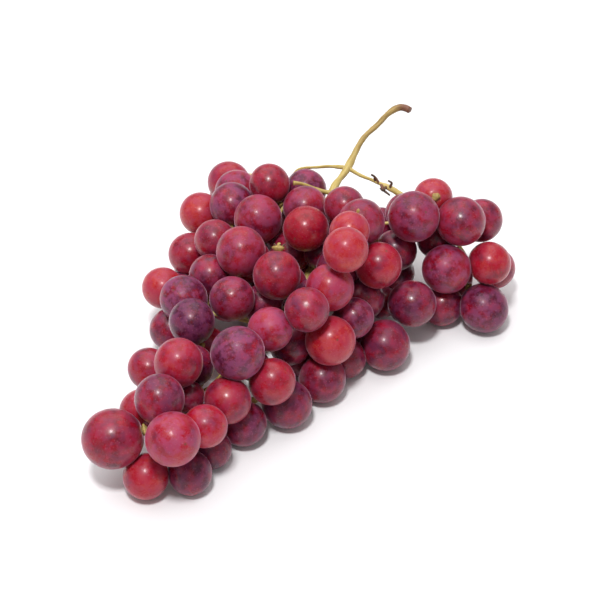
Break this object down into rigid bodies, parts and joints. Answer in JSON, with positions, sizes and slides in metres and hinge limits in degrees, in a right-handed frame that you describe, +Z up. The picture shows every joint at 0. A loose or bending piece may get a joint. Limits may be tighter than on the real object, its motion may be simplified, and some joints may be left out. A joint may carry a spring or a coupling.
{
  "type": "bunch of grapes",
  "caption": "Bunch of red table grapes lying on its side: broad shoulders, a wing and a narrow tip of bloomed round berries on a green-brown stem with a cut stalk.",
  "frame": {"origin": "on the surface that the bunch lies on, under the middle of its box", "axes": "+Y from the bunch's tip towards its shoulders and cut stalk, +X towards the side with the wing, +Z up from the surface"},
  "size_m": [0.1653, 0.2378, 0.077],
  "materials": {
    "berry_skin": "waxy red-purple grape skin under a dull bloom",
    "stem_wood": "dull green-brown grape stem"
  },
  "bodies": {
    "root": {"stem": "stem_wood", "wing_berries": "berry_skin", "shoulder_berries": "berry_skin", "crown_berries": "berry_skin", "neck_berries": "berry_skin", "side_berries": "berry_skin", "saddle_berries": "berry_skin", "flank_berries": "berry_skin", "belly_berries": "berry_skin", "tip_berries": "berry_skin"}
  },
  "joints": []
}
